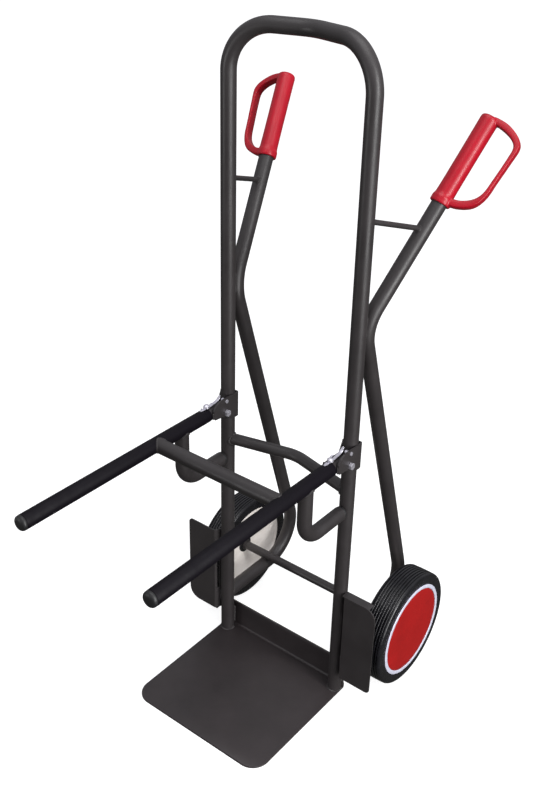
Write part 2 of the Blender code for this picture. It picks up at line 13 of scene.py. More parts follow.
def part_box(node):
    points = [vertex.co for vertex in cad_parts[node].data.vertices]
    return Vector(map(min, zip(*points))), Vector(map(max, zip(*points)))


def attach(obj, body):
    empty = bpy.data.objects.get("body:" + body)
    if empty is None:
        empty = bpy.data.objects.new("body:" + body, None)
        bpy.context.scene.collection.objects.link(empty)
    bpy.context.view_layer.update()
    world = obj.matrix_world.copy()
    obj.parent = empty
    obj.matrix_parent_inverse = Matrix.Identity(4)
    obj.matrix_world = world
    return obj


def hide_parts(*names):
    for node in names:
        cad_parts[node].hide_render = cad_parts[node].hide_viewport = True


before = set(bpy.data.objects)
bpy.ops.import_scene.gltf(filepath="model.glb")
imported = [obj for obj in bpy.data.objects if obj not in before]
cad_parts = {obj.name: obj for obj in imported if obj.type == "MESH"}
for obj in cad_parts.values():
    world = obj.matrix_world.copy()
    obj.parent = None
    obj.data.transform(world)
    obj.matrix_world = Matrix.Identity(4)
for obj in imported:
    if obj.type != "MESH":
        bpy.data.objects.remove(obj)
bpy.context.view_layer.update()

SIDES = {"left": -1, "right": 1}
MM = 0.001

# Fineness of the meshes
TUBE_SIDES = 48
HOOP_SIDES = 64
STRUT_SIDES = 32
WHEEL_STEPS = 144
FORK_STEPS = 64
PROP_PLUG_STEPS = 48
GRIP_STEPS = 72
TUBE_EDGE = 0.0007
LATHE_SMOOTH_ANGLE = 35
MERGE_VERTS = 1e-6
WELD_VERTS = 1e-5

# Weld beads: point spacing, length of one ripple, and radius at each place
BEAD_STEP = 0.0006
BEAD_PITCH = 0.0021
BEAD_SIDES = 10
BEAD_R = {
    "brace": 0.0026, "stay_foot": 0.0020, "knee": 0.0020, "strut_low": 0.0014,
    "strut_high": 0.0017, "foot": 0.0021, "upstand": 0.0021, "guard": 0.0019,
    "axle": 0.0022, "cross": 0.0018, "prop": 0.0017, "cheek": 0.0018,
}


def centre_of(node):
    low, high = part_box(node)
    return (low + high) / 2


# Main dimensions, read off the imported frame
UPRIGHT_X = centre_of("upright_right").x
TUBE_R = (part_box("upright_right")[1].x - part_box("upright_right")[0].x) / 2
FOOT_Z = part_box("upright_right")[0].z
TOP_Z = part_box("top_bar")[1].z - TUBE_R
TOP_BOW = 0.042
BEND_R = 0.084
BRACE_R = 0.0122
BRACE_Z = centre_of("cross_brace").z
BRACE_BOW = 0.037
AXLE = centre_of("axle")
AXLE_R = 0.010
AXLE_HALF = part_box("axle")[1].x
WHEEL_X = centre_of("tyre_right").x
WHEEL_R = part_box("tyre_right")[1].z - AXLE.z
STAY_FOOT_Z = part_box("stay_right")[0].z + TUBE_R
STAY_BACK_Y = 0.264
STAY_KNEE = Vector((UPRIGHT_X, 0.0182, 0.867))
ARM_INTO_GRIP = 0.155
ARM_DIR = Vector((0.1749, 0.5778, 0.7973)).normalized()
GRIP_FOOT_Z = {"left": 1.077, "right": 1.071}
STRUT_R = 0.005
STRUT_Z = {"left": (1.085, 1.039), "right": (1.073, 1.030)}
CARRIAGE_Z = centre_of("fork_right").z
FORK_TIP_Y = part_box("fork_right")[0].y
FORK_REAR_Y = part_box("fork_right")[1].y
FORK_R = 0.014
SLEEVE_R = 0.0150
SLEEVE_REAR_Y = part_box("fork_sleeve_right")[1].y
CROSS_Y = centre_of("fork_cross_tube").y
PROP_Y = -0.141
PROP_DROP = -0.126
PROP_R = 0.0146
PROP_BEND_R = 0.044
PROP_END_Y = -TUBE_R - 0.0085

# Toe sheet
TOE_THICKNESS = 0.004
TOE_CORNER_R = 0.038
TOE_TOP_R = 0.012
TOE_BEND_R = 0.0065
TOE_WALL_INSET = 0.006
TOE_BEND_LEAD = 0.006


# ---------------------------------------------------------------- geometry


def add_mesh(name, verts, faces, smooth_angle=40):
    """A linked object with its faces turned outwards and its sharp edges marked."""
    mesh = bpy.data.meshes.new(name)
    mesh.from_pydata([tuple(v) for v in verts], [], faces)
    bm = bmesh.new()
    bm.from_mesh(mesh)
    bmesh.ops.remove_doubles(bm, verts=bm.verts, dist=MERGE_VERTS)
    bmesh.ops.recalc_face_normals(bm, faces=bm.faces)
    bm.to_mesh(mesh)
    bm.free()
    mesh.shade_smooth()
    mesh.set_sharp_from_angle(angle=math.radians(smooth_angle))
    obj = bpy.data.objects.new(name, mesh)
    bpy.context.scene.collection.objects.link(obj)
    return obj


def dress(obj, body, slot, material, *nodes):
    """Put a finished piece on its body, with its material, and hide its CAD nodes. The slot is not used.
    """
    obj.data.materials.clear()
    obj.data.materials.append(material)
    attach(obj, body)
    if nodes:
        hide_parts(*nodes)


def rounded_path(corners, radii, step=math.radians(3)):
    """Points of a polyline whose inner corners are filleted with arcs."""
    corners = [Vector(p) for p in corners]
    points = [corners[0]]
    for i, radius in enumerate(radii, start=1):
        into = (corners[i] - corners[i - 1]).normalized()
        out = (corners[i + 1] - corners[i]).normalized()
        turn = into.angle(out)
        normal = into.cross(out).normalized()
        inward = normal.cross(into)
        centre = corners[i] - into * radius * math.tan(turn / 2) + inward * radius
        count = max(3, math.ceil(turn / step))
        for k in range(count + 1):
            swing = Matrix.Rotation(turn * k / count, 3, normal)
            points.append(centre - swing @ inward * radius)
    points.append(corners[-1])
    return points


def path_frames(points, closed=False):
    """A side and an up direction at each point, carried along without twist."""
    count = len(points)
    tangents = []
    for i in range(count):
        before = points[i - 1] if closed or i else points[0]
        after = points[(i + 1) % count] if closed or i < count - 1 else points[-1]
        tangents.append((after - before).normalized())
    helper = Vector((0, 0, 1)) if abs(tangents[0].z) < 0.9 else Vector((1, 0, 0))
    side = tangents[0].cross(helper).normalized()
    frames = []
    for tangent in tangents:
        side = (side - tangent * side.dot(tangent)).normalized()
        frames.append((tangent, side, tangent.cross(side)))
    return frames


def sweep(name, points, sections, closed=False):
    """Skin along a path, from one ring of (side, up) pairs at each point."""
    points = [Vector(p) for p in points]
    verts = []
    for point, ring, (_, side, up) in zip(points, sections, path_frames(points, closed)):
        verts += [point + side * a + up * b for a, b in ring]
    size = len(sections[0])
    faces = []
    for i in range(len(points) if closed else len(points) - 1):
        low, high = i * size, (i + 1) % len(points) * size
        for k in range(size):
            n = (k + 1) % size
            faces.append((low + k, low + n, high + n, high + k))
    if not closed:
        faces.append(tuple(reversed(range(size))))
        faces.append(tuple(range(len(verts) - size, len(verts))))
    return add_mesh(name, verts, faces)


def circle(radius, sides=TUBE_SIDES):
    turn = [2 * math.pi * k / sides for k in range(sides)]
    return [(radius * math.cos(a), radius * math.sin(a)) for a in turn]


def tube(name, points, radius, sides=TUBE_SIDES):
    """Round tube with softly broken end edges."""
    points = [Vector(p) for p in points]
    start = (points[1] - points[0]).normalized() * TUBE_EDGE
    end = (points[-1] - points[-2]).normalized() * TUBE_EDGE
    points = [points[0], points[0] + start, *points[1:-1], points[-1] - end, points[-1]]
    rings = [circle(radius, sides) for _ in points]
    rings[0] = rings[-1] = circle(radius - TUBE_EDGE, sides)
    return sweep(name, points, rings)


def lathe(name, profile, steps, matrix=Matrix.Identity(4)):
    """Skin of a closed (radius, height) profile turned about the local Z axis."""
    verts, faces = [], []
    for i in range(steps):
        angle = 2 * math.pi * i / steps
        for r, z in profile:
            verts.append(matrix @ Vector((r * math.cos(angle), r * math.sin(angle), z)))
    size = len(profile)
    for i in range(steps):
        low, high = i * size, (i + 1) % steps * size
        for k in range(size):
            n = (k + 1) % size
            if profile[k][0] == 0 and profile[n][0] == 0:
                continue
            face = [low + k, low + n, high + n, high + k]
            if profile[k][0] == 0:
                face = [low + k, low + n, high + n]
            elif profile[n][0] == 0:
                face = [low + k, low + n, high + k]
            faces.append(tuple(face))
    return add_mesh(name, verts, faces, LATHE_SMOOTH_ANGLE)


def soften(node, width=0.0005, angle=30):
    """Round the edges of a carried-over CAD node."""
    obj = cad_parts[node]
    weld = obj.modifiers.new("weld", "WELD")
    weld.merge_threshold = WELD_VERTS
    bevel = obj.modifiers.new("edges", "BEVEL")
    bevel.width = width
    bevel.segments = 2
    bevel.limit_method = "ANGLE"
    bevel.angle_limit = math.radians(angle)
    bevel.harden_normals = True


def paint(node, material):
    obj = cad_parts[node]
    obj.data.materials.clear()
    obj.data.materials.append(material)


def tee_loop(centre, axis, big_r, start, along, small_r, count=72):
    """Where a tube leaving along 'along' meets the skin of a tube round 'axis'."""
    axis, along = axis.normalized(), along.normalized()
    helper = axis if abs(axis.dot(along)) < 0.9 else Vector((1, 0, 0))
    u = along.cross(helper).normalized()
    v = along.cross(u)
    loop = []
    for k in range(count):
        a = 2 * math.pi * k / count
        q = start + u * small_r * math.cos(a) + v * small_r * math.sin(a) - centre
        w = q - axis * q.dot(axis)
        d = along - axis * along.dot(axis)
        half_b, c = w.dot(d) / d.dot(d), (w.dot(w) - big_r**2) / d.dot(d)
        travel = -half_b + math.sqrt(max(half_b**2 - c, 0))
        loop.append(centre + q + along * travel)
    return loop


def weld_bead(name, loop, radius, body, seed, closed=True):
    """A rippled bead of weld along a line of points."""
    rng = np.random.default_rng(seed)
    loop = [Vector(p) for p in loop]
    dense = []
    pairs = list(zip(loop, loop[1:] + loop[:1])) if closed else list(zip(loop, loop[1:]))
    for a, b in pairs:
        steps = max(1, round((b - a).length / BEAD_STEP))
        dense += [a.lerp(b, k / steps) for k in range(steps)]
    if not closed:
        dense.append(loop[-1])
    phase = rng.uniform(0, 6.28)
    rings = []
    for i in range(len(dense)):
        ripple = 1 + 0.13 * math.sin(i * BEAD_STEP / BEAD_PITCH * 2 * math.pi + phase)
        wander = 1 + 0.10 * math.sin(i * 0.045 + phase)
        end = 1.0 if closed else min(1.0, 0.35 + min(i, len(dense) - 1 - i) * 0.16)
        rings.append(circle(radius * ripple * wander * end, BEAD_SIDES))
    dress(sweep(name, dense, rings, closed), body, "frame", COAT)


# --------------------------------------------------------------- materials


class Nodes:
    """Short hand for building one node material."""

    def __init__(self, name):
        self.material = bpy.data.materials.new(name)
        self.material.use_nodes = True
        self.tree = self.material.node_tree
        self.shader = self.tree.nodes["Principled BSDF"]
        self.coords = self.tree.nodes.new("ShaderNodeTexCoord").outputs["Object"]

    def link(self, a, b):
        self.tree.links.new(a, b)

    def stretched(self, x, y, z):
        node = self.tree.nodes.new("ShaderNodeMapping")
        node.inputs["Scale"].default_value = (x, y, z)
        self.link(self.coords, node.inputs["Vector"])
        return node.outputs["Vector"]

    def noise(self, scale, detail=3.0, rough=0.55, vector=None):
        node = self.tree.nodes.new("ShaderNodeTexNoise")
        node.inputs["Scale"].default_value = scale
        node.inputs["Detail"].default_value = detail
        node.inputs["Roughness"].default_value = rough
        self.link(vector or self.coords, node.inputs["Vector"])
        return node.outputs["Fac"]

    def ramp(self, value, stops):
        node = self.tree.nodes.new("ShaderNodeValToRGB")
        node.color_ramp.elements[0].position = stops[0][0]
        node.color_ramp.elements[0].color = (*stops[0][1], 1)
        node.color_ramp.elements[1].position = stops[-1][0]
        node.color_ramp.elements[1].color = (*stops[-1][1], 1)
        for place, color in stops[1:-1]:
            node.color_ramp.elements.new(place).color = (*color, 1)
        self.link(value, node.inputs["Fac"])
        return node.outputs["Color"]

    def spread(self, value, low, high, start=0.3, end=0.7):
        node = self.tree.nodes.new("ShaderNodeMapRange")
        for key, number in zip(("From Min", "From Max", "To Min", "To Max"), (start, end, low, high)):
            node.inputs[key].default_value = number
        self.link(value, node.inputs["Value"])
        return node.outputs["Result"]

    def mix(self, factor, a, b):
        node = self.tree.nodes.new("ShaderNodeMix")
        node.data_type = "RGBA"
        self.link(factor, node.inputs["Factor"])
        for socket, value in ((node.inputs[6], a), (node.inputs[7], b)):
            if isinstance(value, tuple):
                socket.default_value = (*value, 1)
            else:
                self.link(value, socket)
        return node.outputs[2]

    def bump(self, height, strength, distance, before=None):
        node = self.tree.nodes.new("ShaderNodeBump")
        node.inputs["Strength"].default_value = strength
        node.inputs["Distance"].default_value = distance
        self.link(height, node.inputs["Height"])
        if before is not None:
            self.link(before, node.inputs["Normal"])
        return node.outputs["Normal"]

    def close(self, color, roughness, normal, metallic=0.0, **sockets):
        self.link(color, self.shader.inputs["Base Color"])
        self.link(roughness, self.shader.inputs["Roughness"])
        self.link(normal, self.shader.inputs["Normal"])
        self.shader.inputs["Metallic"].default_value = metallic
        for key, number in sockets.items():
            self.shader.inputs[key.replace("_", " ")].default_value = number
        return self.material


def scaled(color, factor):
    return tuple(c * factor for c in color)


def coat_material(name, color, low=0.36, high=0.48):
    """Powder coat: fine orange peel, slight cloudiness, a few pale scuffs."""
    n = Nodes(name)
    cloud = n.ramp(n.noise(9.0), [(0.3, scaled(color, 0.82)), (0.72, scaled(color, 1.18))])
    marks = n.noise(55.0, 5.0, 0.7, n.stretched(1.0, 1.0, 0.28))
    mask = n.spread(marks, 0.0, 0.22, 0.66, 0.78)
    cloud = n.mix(mask, cloud, scaled(color, 3.2))
    rough = n.spread(n.noise(26.0), low, high)
    fine = n.bump(n.noise(620.0, 2.0), 0.22, 0.0004)
    normal = n.bump(n.noise(60.0, 2.0), 0.10, 0.0006, fine)
    return n.close(cloud, rough, normal, Specular_IOR_Level=0.5)


def plastic_material(name, color, low, high, grain, coat=0.0, level=0.5):
    """Moulded plastic: low and high bound its roughness, level is its specular level."""
    n = Nodes(name)
    shade = n.ramp(n.noise(14.0), [(0.3, scaled(color, 0.90)), (0.7, scaled(color, 1.10))])
    rough = n.spread(n.noise(48.0, 4.0), low, high)
    fine = n.bump(n.noise(900.0, 2.0), grain, 0.0002)
    normal = n.bump(n.noise(70.0, 1.0), 0.08, 0.0005, fine)
    return n.close(
        shade, rough, normal, Coat_Weight=coat, Coat_Roughness=0.15, Specular_IOR_Level=level
    )


def zinc_material():
    """Zinc plating with a fine, slightly uneven crystal."""
    n = Nodes("bright_zinc")
    color = n.ramp(n.noise(180.0, 4.0), [(0.3, (0.62, 0.61, 0.67)), (0.7, (0.84, 0.82, 0.92))])
    rough = n.spread(n.noise(260.0, 4.0), 0.20, 0.42)
    return n.close(color, rough, n.bump(n.noise(1400.0, 2.0), 0.15, 0.0002), metallic=0.75)


def tyre_material():
    """Black rubber with a little dust in its grain."""
    n = Nodes("tyre_rubber")
    dust = n.noise(38.0, 5.0, 0.65)
    color = n.ramp(dust, [(0.35, (0.0045, 0.0045, 0.0060)), (0.75, (0.0120, 0.0115, 0.0150))])
    rough = n.spread(n.noise(90.0, 4.0), 0.22, 0.34)
    fine = n.bump(n.noise(1100.0, 3.0), 0.30, 0.0003)
    return n.close(color, rough, n.bump(n.noise(120.0, 2.0), 0.12, 0.0005, fine))


def disc_material():
    """Moulded grey-white wheel disc with faint flow marks.

    It emits a little of its own colour, to look bright enough in this light.
    That is not physical: set Emission_Strength to 0 for a physical material.
    """
    n = Nodes("wheel_disc")
    flow = n.noise(30.0, 5.0, 0.7, n.stretched(1.0, 0.45, 1.3))
    stops = [(0.30, (0.66, 0.61, 0.565)), (0.55, (0.78, 0.73, 0.69)), (0.8, (0.84, 0.80, 0.77))]
    color = n.ramp(flow, stops)
    rough = n.spread(n.noise(70.0, 4.0), 0.42, 0.62)
    n.link(color, n.shader.inputs["Emission Color"])
    normal = n.bump(n.noise(500.0, 3.0), 0.18, 0.0003)
    return n.close(color, rough, normal, Emission_Strength=0.20)


def ring_material():
    """Bright satin trim."""
    n = Nodes("trim_ring_silver")
    color = n.ramp(n.noise(120.0, 3.0), [(0.3, (0.62, 0.63, 0.76)), (0.7, (0.74, 0.75, 0.88))])
    rough = n.spread(n.noise(200.0, 4.0), 0.28, 0.42)
    return n.close(color, rough, n.bump(n.noise(900.0, 2.0), 0.10, 0.0002), metallic=0.12)


COAT = coat_material("anthracite_powder_coat", (0.031, 0.0272, 0.0280))
PLATE_COAT = coat_material("toe_plate_powder_coat", (0.027, 0.0215, 0.0225), 0.42, 0.54)
SLEEVE = plastic_material(
    "fork_sleeve_plastic", (0.0032, 0.0021, 0.0046), 0.50, 0.64, 0.25, level=0.16
)
PLUG = plastic_material("end_plug_plastic", (0.012, 0.012, 0.013), 0.40, 0.55, 0.25)
GRIP = plastic_material(
    "red_grip", (0.40, 0.0030, 0.0150), 0.30, 0.40, 0.10, coat=0.05, level=0.36
)
CAP = plastic_material("red_hub_cap", (0.34, 0.0060, 0.0058), 0.40, 0.52, 0.14, level=0.34)
BUSH = plastic_material("black_bush", (0.008, 0.008, 0.009), 0.35, 0.5, 0.2)
ZINC = zinc_material()
TYRE = tyre_material()
DISC = disc_material()
RING = ring_material()


# ------------------------------------------------------------- main frame


def mirrored(points, sign):
    return [Vector((sign * p.x, p.y, p.z)) for p in points]


def arm_point(sign, height):
    point = STAY_KNEE + ARM_DIR * ((height - STAY_KNEE.z) / ARM_DIR.z)
    return Vector((sign * point.x, point.y, point.z))


def build_hoop():
    corners = [
        (-UPRIGHT_X, 0, FOOT_Z), (-UPRIGHT_X, 0, TOP_Z), (0, TOP_BOW, TOP_Z),
        (UPRIGHT_X, 0, TOP_Z), (UPRIGHT_X, 0, FOOT_Z),
    ]
    hoop = tube("hoop", rounded_path(corners, [BEND_R - 0.0003] * 3), TUBE_R, HOOP_SIDES)
    dress(hoop, "frame", "frame", COAT, "upright_left", "upright_right", "top_bar")


def build_brace():
    corners = [(-UPRIGHT_X, 0, BRACE_Z), (0, BRACE_BOW, BRACE_Z), (UPRIGHT_X, 0, BRACE_Z)]
    path = rounded_path(corners, [BEND_R])
    brace = tube("brace", path, BRACE_R)
    dress(brace, "frame", "frame", COAT, "cross_brace")
    for side, sign in SIDES.items():
        start = Vector((sign * UPRIGHT_X, 0, BRACE_Z))
        along = Vector((-sign * UPRIGHT_X, BRACE_BOW, 0))
        loop = tee_loop(start, Vector((0, 0, 1)), TUBE_R, start, along, BRACE_R)
        weld_bead("weld_brace_" + side, loop, BEAD_R["brace"], "frame", 3 + sign)


def stay_path(side):
    arm_end = arm_point(1, GRIP_FOOT_Z[side]) + ARM_DIR * ARM_INTO_GRIP
    corners = [
        Vector((UPRIGHT_X, 0, STAY_FOOT_Z)), Vector((UPRIGHT_X, STAY_BACK_Y, STAY_FOOT_Z)),
        STAY_KNEE, arm_end,
    ]
    return mirrored(rounded_path(corners, [BEND_R, BEND_R]), SIDES[side])


def build_stay(side):
    sign = SIDES[side]
    stay = tube("stay_tube_" + side, stay_path(side), TUBE_R)
    dress(stay, "frame", "frame", COAT, "stay_" + side)
    foot = Vector((sign * UPRIGHT_X, 0, STAY_FOOT_Z))
    loop = tee_loop(foot, Vector((0, 0, 1)), TUBE_R, foot, Vector((0, 1, 0)), TUBE_R * 0.93)
    weld_bead("weld_stay_foot_" + side, loop, BEAD_R["stay_foot"], "frame", 11 + sign)
    for k, edge in enumerate((-1, 1)):
        x = sign * (UPRIGHT_X + edge * 0.0092)
        seam = [
            Vector((x, 0.0106 + 0.0012 * abs(t), STAY_KNEE.z + 0.006 + t * 0.020))
            for t in np.linspace(-1, 1, 24)
        ]
        weld_bead(f"weld_knee_{side}_{k}", seam, BEAD_R["knee"], "frame", 20 + k, closed=False)


def build_strut(side):
    sign = SIDES[side]
    low_z, arm_z = STRUT_Z[side]
    start = Vector((sign * UPRIGHT_X, 0, low_z))
    end = arm_point(sign, arm_z)
    strut = tube("strut_rod_" + side, [start, end], STRUT_R, STRUT_SIDES)
    dress(strut, "frame", "frame", COAT, "strut_" + side)
    along = end - start
    loop = tee_loop(start, Vector((0, 0, 1)), TUBE_R, start, along, STRUT_R, 48)
    weld_bead("weld_strut_low_" + side, loop, BEAD_R["strut_low"], "frame", 31 + sign)
    arm = Vector((sign * ARM_DIR.x, ARM_DIR.y, ARM_DIR.z))
    loop = tee_loop(end, arm, TUBE_R, end, -along, STRUT_R, 48)
    weld_bead("weld_strut_high_" + side, loop, BEAD_R["strut_high"], "frame", 37 + sign)


def edge_ring(half_width, thickness, edge=0.0010, steps=3):
    """Rounded rectangle section of a sheet, as (across, through) points."""
    ring = []
    corners = ((1, 1), (-1, 1), (-1, -1), (1, -1))
    for index, (a, b) in enumerate(corners):
        for k in range(steps + 1):
            angle = math.pi / 2 * (index + k / steps)
            across = a * (half_width - edge) + edge * math.cos(angle)
            through = b * (thickness / 2 - edge) + edge * math.sin(angle)
            ring.append((across, through))
    return ring


def build_toe_plate():
    """One sheet, flat in front and bent up behind the uprights."""
    low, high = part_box("toe_plate")
    half = high.x
    mid_z = TOE_THICKNESS / 2
    wall_half = half - TOE_WALL_INSET
    back_y = high.y - mid_z
    stations = []
    for k in range(17):
        angle = math.pi / 2 * k / 16
        y = low.y + TOE_CORNER_R * (1 - math.cos(angle))
        stations.append((y, mid_z, half - TOE_CORNER_R + TOE_CORNER_R * math.sin(angle)))
    stations.append((-0.02, mid_z, half))
    stations.append((back_y - TOE_BEND_R - TOE_BEND_LEAD, mid_z, half))
    for k in range(9):
        angle = math.pi / 2 * k / 8
        y = back_y - TOE_BEND_R + TOE_BEND_R * math.sin(angle)
        z = mid_z + TOE_BEND_R - TOE_BEND_R * math.cos(angle)
        stations.append((y, z, half - TOE_WALL_INSET * k / 8))
    for k in range(13):
        angle = math.pi / 2 * k / 12
        z = high.z - TOE_TOP_R + TOE_TOP_R * math.sin(angle)
        stations.append((back_y, z, wall_half - TOE_TOP_R + TOE_TOP_R * math.cos(angle)))
    verts = []
    for i, (y, z, width) in enumerate(stations):
        before = stations[max(i - 1, 0)]
        after = stations[min(i + 1, len(stations) - 1)]
        along = Vector((0, after[0] - before[0], after[1] - before[1])).normalized()
        through = Vector((1, 0, 0)).cross(along)
        shrink = 0.72 if i in (0, len(stations) - 1) else 1.0
        ring = edge_ring(width, TOE_THICKNESS * shrink)
        verts += [Vector((a, y, z)) + through * b for a, b in ring]
    size = len(ring)
    faces = [tuple(reversed(range(size)))]
    for i in range(len(stations) - 1):
        for k in range(size):
            n = (k + 1) % size
            faces.append((i * size + k, i * size + n, (i + 1) * size + n, (i + 1) * size + k))
    faces.append(tuple(range(len(verts) - size, len(verts))))
    plate = add_mesh("toe_sheet", verts, faces)
    dress(plate, "frame", "frame", PLATE_COAT, "toe_plate")
    for side, sign in SIDES.items():
        centre = Vector((sign * UPRIGHT_X, 0, FOOT_Z + 0.0002))
        ring = [centre + Vector((TUBE_R * math.cos(a), TUBE_R * math.sin(a), 0))
                for a in np.linspace(math.radians(150), math.radians(390), 60)]
        weld_bead("weld_foot_" + side, ring, BEAD_R["foot"], "frame", 41 + sign, closed=False)
        for k, edge in enumerate((-1, 1)):
            x = sign * UPRIGHT_X + edge * 0.0095
            y = back_y - 0.0045 - 0.0020
            seam = [Vector((x, y, z)) for z in np.linspace(0.014, 0.060, 30)]
            weld_bead(f"weld_upstand_{side}_{k}", seam, BEAD_R["upstand"], "frame", 45 + k, closed=False)


def build_guards():
    for side, sign in SIDES.items():
        name = "wheel_guard_" + side
        soften(name, 0.0006, 25)
        paint(name, COAT)
        low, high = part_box(name)
        inner = min(abs(low.x), abs(high.x))
        x = sign * (inner + 0.0005)
        spans = ((low.z + 0.02, low.z + 0.05), (high.z - 0.05, high.z - 0.02))
        for k, (z0, z1) in enumerate(spans):
            seam = [Vector((x, -0.0052, z)) for z in np.linspace(z0, z1, 20)]
            weld_bead(f"weld_guard_{side}_{k}", seam, BEAD_R["guard"], "frame", 51 + k, closed=False)


def build_axle():
    ends = [(-AXLE_HALF, AXLE.y, AXLE.z), (AXLE_HALF, AXLE.y, AXLE.z)]
    rod = tube("axle_rod", ends, AXLE_R - 0.00002)
    dress(rod, "frame", "frame", COAT, "axle")
    for side, sign in SIDES.items():
        for node, material in (("axle_collar_", COAT), ("axle_clip_", ZINC)):
            soften(node + side, 0.0004)
            paint(node + side, material)
        x = sign * UPRIGHT_X
        contact = AXLE.z - AXLE_R
        for k, edge in enumerate((-1, 1)):
            y = AXLE.y + edge * (AXLE_R * 0.62)
            seam = [
                Vector((x + t * 0.008, y, contact + 0.0006 - 0.0014 * t * t))
                for t in np.linspace(-1, 1, 20)
            ]
            weld_bead(f"weld_axle_{side}_{k}", seam, BEAD_R["axle"], "frame", 61 + k, closed=False)


# ------------------------------------------------------------------ grips


GUARD_AWAY = Vector((0.969, 0.041, -0.242))
BAND_HALF_FLAT = 0.009
BAND_SQUARENESS = 0.45
BAND_STATIONS = 120
BAND_STEPS = 28
GRIP_VOXEL = 0.00105
GRIP_PROFILE = [
    (0, 0.1765), (0.0090, 0.1763), (0.0132, 0.1757), (0.0158, 0.1742), (0.0171, 0.1720),
    (0.0176, 0.1690), (0.0174, 0.140), (0.0173, 0.090), (0.0174, 0.040), (0.0177, 0.020),
    (0.0184, 0.0150), (0.0194, 0.0125), (0.0197, 0.0105), (0.0197, 0.0020), (0.0193, 0.0006),
    (0.0186, 0.0), (0.0149, 0.0), (0.0143, 0.0008), (0.0143, 0.1650), (0, 0.1650),
]
# Outer and inner lines of the D-shaped guard in mm: along the handle, out from its axis
GUARD_OUTER = [
    (2, 4), (6, 32), (20, 57), (45, 69), (80, 71.5), (120, 74), (146, 75),
    (159, 68), (169, 53), (176, 34), (178, 14), (177, 4),
]
GUARD_INNER = [
    (16, 4), (18, 18), (22, 34), (33, 51), (50, 61), (80, 64), (120, 66), (142, 65),
    (154, 54), (161, 38), (165, 20), (166, 4),
]


def grip_matrix(side):
    """Z along the handle arm and X pointing away from the frame."""
    sign = SIDES[side]
    along = Vector((sign * ARM_DIR.x, ARM_DIR.y, ARM_DIR.z))
    away = Vector((sign * GUARD_AWAY.x, GUARD_AWAY.y, GUARD_AWAY.z))
    away = (away - along * away.dot(along)).normalized()
    flat = along.cross(away)
    rotation = Matrix((away, flat, along)).transposed()
    return Matrix.Translation(arm_point(sign, GRIP_FOOT_Z[side])) @ rotation.to_4x4()


def smooth_line(points, count):
    """A smooth open line through 2D points, evenly spaced."""
    pts = np.array(points, float)
    pts = np.vstack([2 * pts[0] - pts[1], pts, 2 * pts[-1] - pts[-2]])
    line = []
    for i in range(1, len(pts) - 2):
        for t in np.linspace(0, 1, 24, endpoint=False):
            a, b, c, d = pts[i - 1:i + 3]
            line.append(0.5 * (2 * b + (c - a) * t + (2 * a - 5 * b + 4 * c - d) * t**2
                               + (3 * b - a - 3 * c + d) * t**3))
    line.append(pts[-2])
    line = np.array(line)
    length = np.r_[0, np.cumsum(np.linalg.norm(np.diff(line, axis=0), axis=1))]
    even = np.linspace(0, length[-1], count)
    return np.column_stack([np.interp(even, length, line[:, k]) for k in (0, 1)])


def guard_band():
    """The D-shaped band of a grip, lofted between its outer and inner lines."""
    outer = smooth_line(GUARD_OUTER, BAND_STATIONS) * MM
    inner = smooth_line(GUARD_INNER, BAND_STATIONS) * MM
    verts, steps = [], BAND_STEPS
    for (oz, ox), (iz, ix) in zip(outer, inner):
        middle = Vector(((ox + ix) / 2, 0, (oz + iz) / 2))
        across = Vector(((ox - ix) / 2, 0, (oz - iz) / 2))
        for k in range(steps):
            a = 2 * math.pi * k / steps
            ca, sa = math.cos(a), math.sin(a)
            u = math.copysign(abs(ca) ** BAND_SQUARENESS, ca)
            v = math.copysign(abs(sa) ** BAND_SQUARENESS, sa)
            verts.append(middle + across * u + Vector((0, BAND_HALF_FLAT * v, 0)))
    faces = [tuple(range(steps))]
    for i in range(len(outer) - 1):
        for k in range(steps):
            n = (k + 1) % steps
            faces.append((i * steps + k, i * steps + n, (i + 1) * steps + n, (i + 1) * steps + k))
    faces.append(tuple(reversed(range(len(verts) - steps, len(verts)))))
    return add_mesh("band", verts, faces)


def union(target, tool):
    modifier = target.modifiers.new("union", "BOOLEAN")
    modifier.object = tool
    modifier.solver = "EXACT"
    modifier.operation = "UNION"
    apply_modifiers(target)
    bpy.data.objects.remove(tool)


def apply_modifiers(obj):
    bpy.context.view_layer.update()
    graph = bpy.context.evaluated_depsgraph_get()
    mesh = bpy.data.meshes.new_from_object(obj.evaluated_get(graph))
    obj.modifiers.clear()
    obj.data = mesh


def build_grip(side):
    """Sleeve and guard band fused and blended like one moulding."""
    grip = lathe("sleeve", GRIP_PROFILE, GRIP_STEPS)
    union(grip, guard_band())
    remesh = grip.modifiers.new("skin", "REMESH")
    remesh.mode = "VOXEL"
    remesh.voxel_size = GRIP_VOXEL
    blend = grip.modifiers.new("blend", "SMOOTH")
    blend.factor = 0.5
    blend.iterations = 4
    apply_modifiers(grip)
    grip.data.shade_smooth()
    grip.data.transform(grip_matrix(side))
    grip.name = "handle_grip_" + side
    grip.data.name = grip.name
    dress(grip, "frame", "grip", GRIP, "grip_" + side)


# ------------------------------------------------------------------ wheels


# Sections of a wheel's pieces: radius, and distance outwards from its middle plane
TYRE_INNER_R = 0.1040
TYRE_HALF = 0.0288
TYRE_SHOULDER = 0.0055
TREAD_HALF = TYRE_HALF - 0.0062
